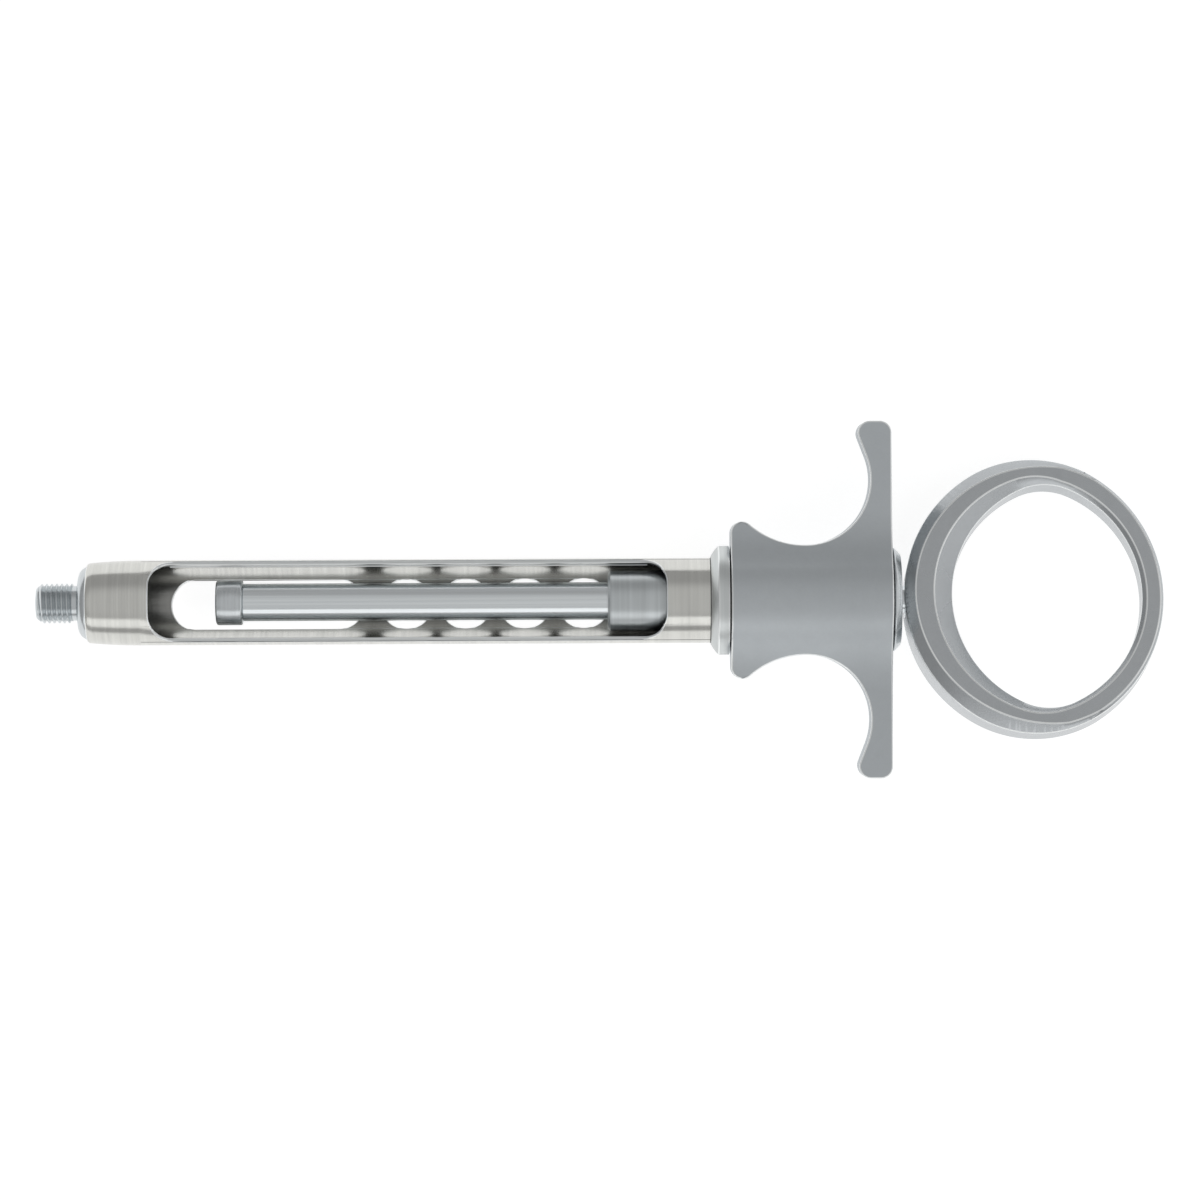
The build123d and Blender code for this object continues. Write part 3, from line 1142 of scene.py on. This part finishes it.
@dataclass
class ThumbRing(Part):
    """Bevelled thumb ring, thicker towards the rod, rolled about the axis."""

    half_length: float = 19.31
    half_width: float = 21.06
    side_radius: float = 21.82
    bore_setback: float = 7.15
    bore_half_length: float = 14.11
    bore_half_width: float = 17.12
    bore_side_radius: float = 17.99
    tip_half_thickness: float = 2.58
    face_slope: float = 0.09
    crease_from_front: float = 23.95
    cone_from_front: float = 18.98
    cone_radius: float = 23.7
    cone_slope: float = 1.36
    tip_edge_break: float = 0.49
    bevel_height: float = 1.985
    bevel_slope: float = 1.2
    socket_radius: float = 2.85
    socket_depth: float = 4.75
    roll: float = -14.5
    edge_break: float = 0.14
    edge_angle: float = 20.0
    bevel_rise: float = 0.5
    loft_margin: float = 0.2
    block_margin: float = 0.1
    arc_steps: int = 56
    cone_steps: int = 256
    socket_steps: int = 96

    @property
    def front_half_thickness(self) -> float:
        """Half thickness where the ring meets the rod."""
        return self.tip_half_thickness + self.face_slope * self.crease_from_front

    def oval(self, centre_x: float, grow: float, bore: bool) -> list[Point]:
        """Outline of the ring or of its bore.

        Args:
            centre_x: Station of its middle.
            grow: How far it is grown outwards.
            bore: Whether it is the bore's.

        Returns:
            The outline's points.
        """
        if bore:
            sizes = (self.bore_half_length, self.bore_half_width, self.bore_side_radius)
        else:
            sizes = (self.half_length, self.half_width, self.side_radius)
        points = four_arc_oval(*(size + grow for size in sizes), self.arc_steps)
        return [(centre_x + x, y) for x, y in points]

    def build(self) -> None:
        """Build and dress the ring."""
        at = extent("thumb_ring")
        centre_x = at.front + self.half_length
        high = self.front_half_thickness
        ring = prism("ring_casting", self.oval(centre_x, 0, False), Axis.Z, -high, 2 * high)
        combine(ring, self.side_view(), "INTERSECT")
        combine(ring, self.cones(), "INTERSECT")
        for side in (1, -1):
            combine(ring, self.tip_break(side))
        bore_x = at.front + self.bore_setback + self.bore_half_length
        reach = high + OVERCUT
        combine(ring, prism("ring_hole", self.oval(bore_x, 0, True), Axis.Z, -reach, 2 * reach))
        for side in (1, -1):
            loops = []
            for height in (self.bevel_height - OVERCUT, high + self.bevel_rise):
                grow = self.bevel_slope * (height - self.bevel_height)
                loops.append(lay(self.oval(bore_x, grow, True), Axis.Z, side * height))
            combine(ring, loft("ring_bevel", *loops))
        break_edges(ring, self.edge_break, 2, self.edge_angle)
        socket = [
            (at.front - OVERCUT, 0.0),
            (at.front - OVERCUT, self.socket_radius),
            (at.front + self.socket_depth, self.socket_radius),
            (at.front + self.socket_depth, 0.0),
        ]
        combine(ring, turned("ring_socket", socket, self.socket_steps))
        hand_over(ring, Body.RING, "thumb_ring", self.finishes, self.roll)

    def side_view(self) -> Piece:
        """Prism across the ring with the flat and the inclined faces.

        Returns:
            The prism.
        """
        at = extent("thumb_ring")
        crease_x = at.front + self.crease_from_front
        front_x = at.front - OVERCUT
        front_z = self.tip_half_thickness + self.face_slope * (crease_x - front_x)
        rear_x = at.rear + OVERCUT
        points = [
            (front_x, front_z),
            (crease_x, self.tip_half_thickness),
            (rear_x, self.tip_half_thickness),
        ]
        points += [(x, -z) for x, z in reversed(points)]
        reach = self.half_width + OVERCUT
        return prism("ring_faces", points, Axis.Y, -reach, 2 * reach)

    def cones(self) -> Piece:
        """The two turned cones that bevel the outside.

        Returns:
            Both cones, in one solid.
        """
        at = extent("thumb_ring")
        height = self.front_half_thickness + OVERCUT
        end_radius = self.cone_radius - self.cone_slope * height
        centre = Vector((at.front + self.cone_from_front, 0, 0))
        loop = [
            centre + Vector((0, 0, -height)),
            centre + Vector((end_radius, 0, -height)),
            centre + Vector((self.cone_radius, 0, 0)),
            centre + Vector((end_radius, 0, height)),
            centre + Vector((0, 0, height)),
        ]
        return spun("ring_cones", loop, self.cone_steps, centre, Vector((0, 0, 1)))

    def tip_break(self, side: int) -> Piece:
        """Cutter for the narrow edge break of the flat part.

        Args:
            side: The face that it breaks, 1 above and -1 below.

        Returns:
            The cutter.
        """
        at = extent("thumb_ring")
        centre_x = at.front + self.half_length
        flat = self.tip_half_thickness
        size = self.tip_edge_break
        margin = self.loft_margin
        low_loop = lay(self.oval(centre_x, margin, False), Axis.Z, side * (flat - size - margin))
        high_loop = lay(self.oval(centre_x, -size - margin, False), Axis.Z, side * (flat + margin))
        keep = loft("tip_keep", low_loop, high_loop)
        crease_x = at.front + self.crease_from_front
        rear_x = at.rear + 2 * OVERCUT
        half = self.half_width + 2 * OVERCUT
        corners = [(crease_x, -half), (rear_x, -half), (rear_x, half), (crease_x, half)]
        height = side * (size + self.block_margin)
        block = prism("tip_break", corners, Axis.Z, side * (flat - size), height)
        combine(block, keep)
        return block


@dataclass
class Studio:
    """Camera, floor, lamps and surroundings."""

    axis_height: float = 746.3
    view_x: float = 81.34
    view_y: float = 0.13
    lens: float = 150.0
    sensor: float = 36.0
    turn: float = -0.27
    floor_size: float = 6.0
    floor_tone: float = 0.45
    floor_glow: float = 0.8
    low_sky: float = 0.41
    overhead: float = 0.62
    sky_turns_at: Point = (0.55, 0.92)
    softbox_place: tuple[float, float, float] = (0.0, -1.01766, 0.6359)
    softbox_size: Point = (2.0, 0.56)
    softbox_power: float = 2.7
    card_place: tuple[float, float, float] = (1.11262, -0.096, 0.44953)
    card_size: Point = (1.4, 0.9)
    card_power: float = 1.7

    def camera(self) -> None:
        """Camera that looks straight down on the syringe."""
        data = bpy.data.cameras.new("camera")
        data.lens = self.lens
        data.sensor_width = self.sensor
        camera = bpy.data.objects.new("camera", data)
        camera.location = (self.view_x * MM, self.view_y * MM, self.axis_height * MM)
        camera.rotation_euler = (0, 0, math.radians(self.turn))
        bpy.context.scene.collection.objects.link(camera)
        bpy.context.scene.camera = camera

    def floor(self) -> None:
        """Pale floor under the syringe."""
        bpy.ops.object.select_all(action="DESELECT")
        bpy.ops.mesh.primitive_plane_add(size=self.floor_size, location=(self.view_x * MM, 0, CAD_BOX[0].z))
        floor = bpy.context.active_object
        floor.name = "floor"
        material = bpy.data.materials.new("pale_floor")
        material.use_nodes = True
        tree = material.node_tree
        tree.nodes.remove(tree.nodes["Principled BSDF"])
        tone = self.floor_tone
        matte = add_node(tree, "BsdfDiffuse", {"Color": (tone, tone, tone, 1)})
        strength = add_node(tree, "Math", {0: self.seen(tree), 1: self.floor_glow}, operation="MULTIPLY")
        glow = add_node(tree, "Emission", {"Color": (1, 1, 1, 1), "Strength": strength.outputs[0]})
        both = add_node(tree, "AddShader", {0: matte.outputs[0], 1: glow.outputs[0]})
        tree.links.new(both.outputs[0], tree.nodes["Material Output"].inputs["Surface"])
        floor.data.materials.append(material)

    def seen(self, tree: Tree) -> Socket:
        """Socket that is 1 for camera, glossy and transmission rays and 0 for others.

        Args:
            tree: The material's node tree.

        Returns:
            The socket.
        """
        path = add_node(tree, "LightPath", {})
        total = path.outputs["Is Camera Ray"]
        for name in ("Is Glossy Ray", "Is Transmission Ray"):
            total = add_node(tree, "Math", {0: total, 1: path.outputs[name]}, operation="MAXIMUM").outputs[0]
        return total

    def world(self) -> None:
        """Soft surroundings: white to the camera, grey overhead, darker towards the horizon."""
        world = bpy.data.worlds.new("studio")
        bpy.context.scene.world = world
        world.use_nodes = True
        tree = world.node_tree
        axes = add_node(tree, "SeparateXYZ", {0: add_node(tree, "TexCoord", {}).outputs["Generated"]})
        ends = {"From Min": self.sky_turns_at[0], "From Max": self.sky_turns_at[1]}
        ends |= {"To Min": self.low_sky, "To Max": self.overhead, "Value": axes.outputs["Z"]}
        rise = add_node(tree, "MapRange", ends, interpolation_type="SMOOTHSTEP").outputs["Result"]
        seen = add_node(tree, "LightPath", {}).outputs["Is Camera Ray"]
        mix = add_node(tree, "Mix", {"Factor": seen, "A": rise, "B": 1.0}, data_type="FLOAT")
        back = tree.nodes["Background"]
        back.inputs["Color"].default_value = (1, 1, 1, 1)
        tree.links.new(mix.outputs["Result"], back.inputs["Strength"])

    def lamp(self, name: str, place: Vector, size: Point, power: float) -> None:
        """Soft rectangular lamp that looks at the middle of the syringe.

        Args:
            name: Name of the lamp.
            place: Where it stands from that middle, in metres.
            size: Its width and height, in metres.
            power: Its power, in watts.
        """
        data = bpy.data.lights.new(name, "AREA")
        data.shape = "RECTANGLE"
        data.size, data.size_y = size
        data.energy = power
        lamp = bpy.data.objects.new(name, data)
        lamp.location = Vector((self.view_x * MM, 0, 0)) + place
        lamp.rotation_mode = "QUATERNION"
        lamp.rotation_quaternion = (-place).to_track_quat("-Z", "Y")
        bpy.context.scene.collection.objects.link(lamp)

    def build(self) -> None:
        """Set up the whole studio."""
        self.camera()
        self.floor()
        self.world()
        self.lamp("softbox", Vector(self.softbox_place), self.softbox_size, self.softbox_power)
        self.lamp("card", Vector(self.card_place), self.card_size, self.card_power)
        bpy.context.scene.view_settings.view_transform = "Standard"


def main() -> None:
    """Build the studio and every piece of the syringe."""
    logging.basicConfig(level=logging.INFO, format="%(message)s")
    Studio().build()
    warm = (0.635, 0.635, 0.605)
    turned_steel = SteelFinish("lathe_turned", roughness=0.22)
    collar_steel = SteelFinish("collar_turning", (0.61, 0.635, 0.635), roughness=0.36)
    barrel_steel = SteelFinish("brushed_barrel", warm, roughness=0.17)
    # Bore finish with painted shade by height, where the tube's walls and rails hide the light
    bore_steel_painted_shade = PaintedShadeBoreFinish("reamed_bore_painted_shade", (0.64, 0.64, 0.615), roughness=0.22)
    milled_steel = SteelFinish("milled_steel", (0.66, 0.68, 0.68), roughness=0.36, grain=Grain.ALONG)
    # Painted shade: near-black bands on the seams beside the collar, where a gap's shadow falls
    seam_painted_shade = SteelFinish("seam_painted_shade", (0.04, 0.04, 0.04), roughness=0.5)
    # Painted highlight: bevel faces coloured far lighter than the steel, so that the edges show as bright
    # lines
    edge_painted_highlight = SteelFinish("edge_painted_highlight", (0.86, 0.88, 0.88), roughness=0.3, streak=0.03)
    sleeve_steel = SteelFinish("ground_sleeve", (0.54, 0.57, 0.58), roughness=0.32)
    rod_steel = SteelFinish("drawn_rod", (0.755, 0.79, 0.805), roughness=0.16, grain=Grain.ALONG)
    satin = {"grain": Grain.SATIN}
    grip_steel = SteelFinish("blasted_casting", (0.535, 0.565, 0.585), roughness=0.52, streak=0.02, **satin)
    ring_steel = SteelFinish("satin_casting", (0.47, 0.49, 0.505), roughness=0.24, streak=0.03, **satin)
    spring_steel = SteelFinish("drawn_wire", roughness=0.25, **satin)
    rubber = Finish("black_rubber", (0.012, 0.012, 0.012), 0.62, 0.2, 900.0)
    parts = [
        NeedleTip([turned_steel]),
        Barrel([barrel_steel, edge_painted_highlight, bore_steel_painted_shade, milled_steel, seam_painted_shade]),
        PlainRing([turned_steel], "sleeve_guide", "guide_ring", 4.55, 0.1, Slot.TURNED),
        Sleeve([sleeve_steel]),
        Spring([spring_steel]),
        Collar([collar_steel, edge_painted_highlight]),
        FingerGrip([grip_steel, edge_painted_highlight]),
        RearCap([turned_steel]),
        PlainRing([rubber], "rod_seal_ring", "drag_ring", 2.83, 0.3, Slot.SEAL),
        Plunger([rod_steel, turned_steel]),
        ThumbRing([ring_steel, edge_painted_highlight]),
    ]
    for part in parts:
        part.build()


if __name__ == "__main__":
    main()
